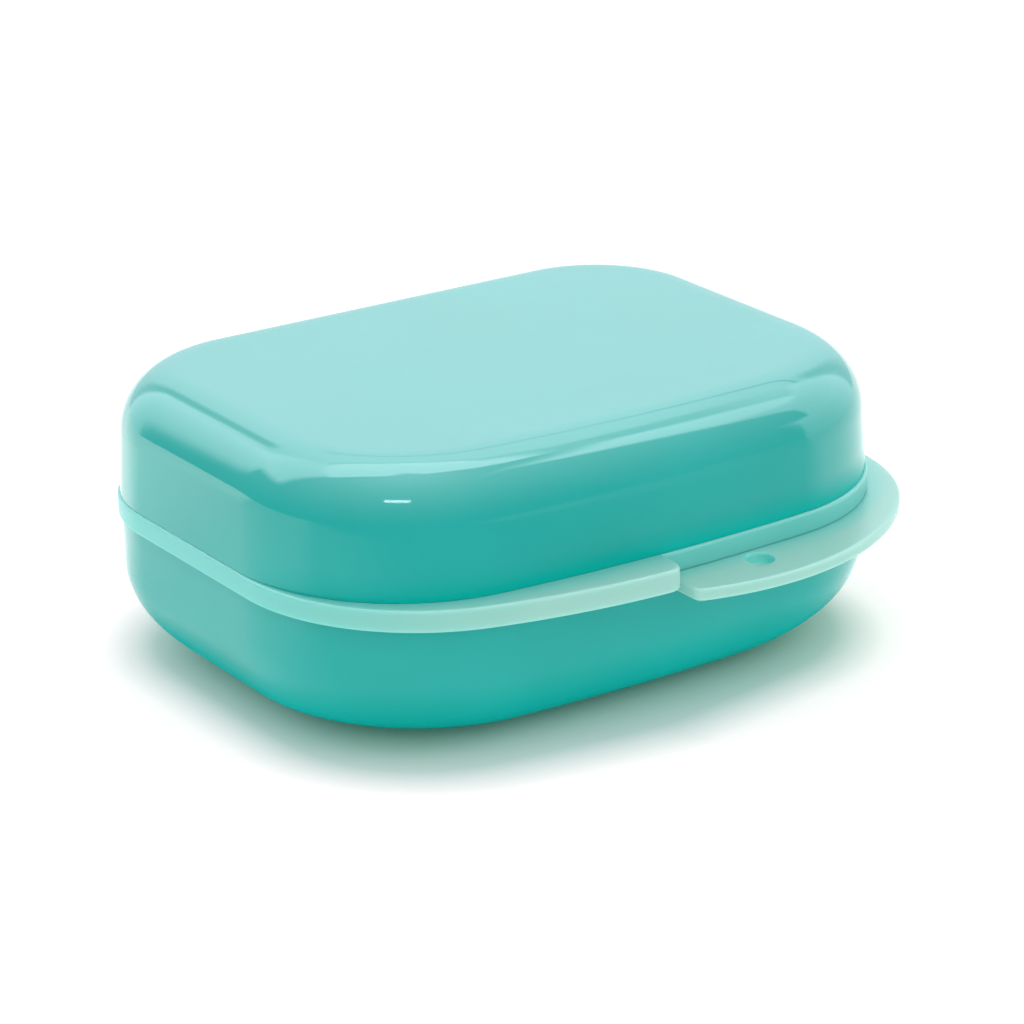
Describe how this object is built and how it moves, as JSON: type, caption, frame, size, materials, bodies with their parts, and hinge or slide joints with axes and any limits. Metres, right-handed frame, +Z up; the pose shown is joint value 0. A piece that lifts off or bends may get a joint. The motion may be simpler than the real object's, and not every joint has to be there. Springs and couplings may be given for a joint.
{
  "type": "retainer case",
  "caption": "Small clamshell case with a deep rounded lid on a rounded base, hinged at the back, with a thumb lip and a drilled tab at the front.",
  "frame": {"origin": "on the resting face, under the middle of the plain walls' outline", "axes": "+Z up, +X to the right along the long side, -Y to the front where the thumb lips are"},
  "size_m": [0.0946, 0.0852, 0.0389],
  "materials": {
    "shell_plastic": "glossy slightly translucent turquoise moulded plastic",
    "rim_plastic": "satin milky mint translucent moulded plastic",
    "pin_steel": "bright drawn wire"
  },
  "bodies": {
    "base": {"base_shell": "shell_plastic", "base_rim": "rim_plastic", "hinge_pin_left": "pin_steel", "hinge_pin_right": "pin_steel"},
    "lid": {"lid_shell": "shell_plastic", "lid_rim": "rim_plastic"}
  },
  "joints": [
    {"name": "lid_hinge", "type": "hinge", "parent": "base", "child": "lid", "pos_m": [0, 0.0385, 0.01985], "axis": [-1, 0, 0], "range_deg": [0, 180]}
  ]
}
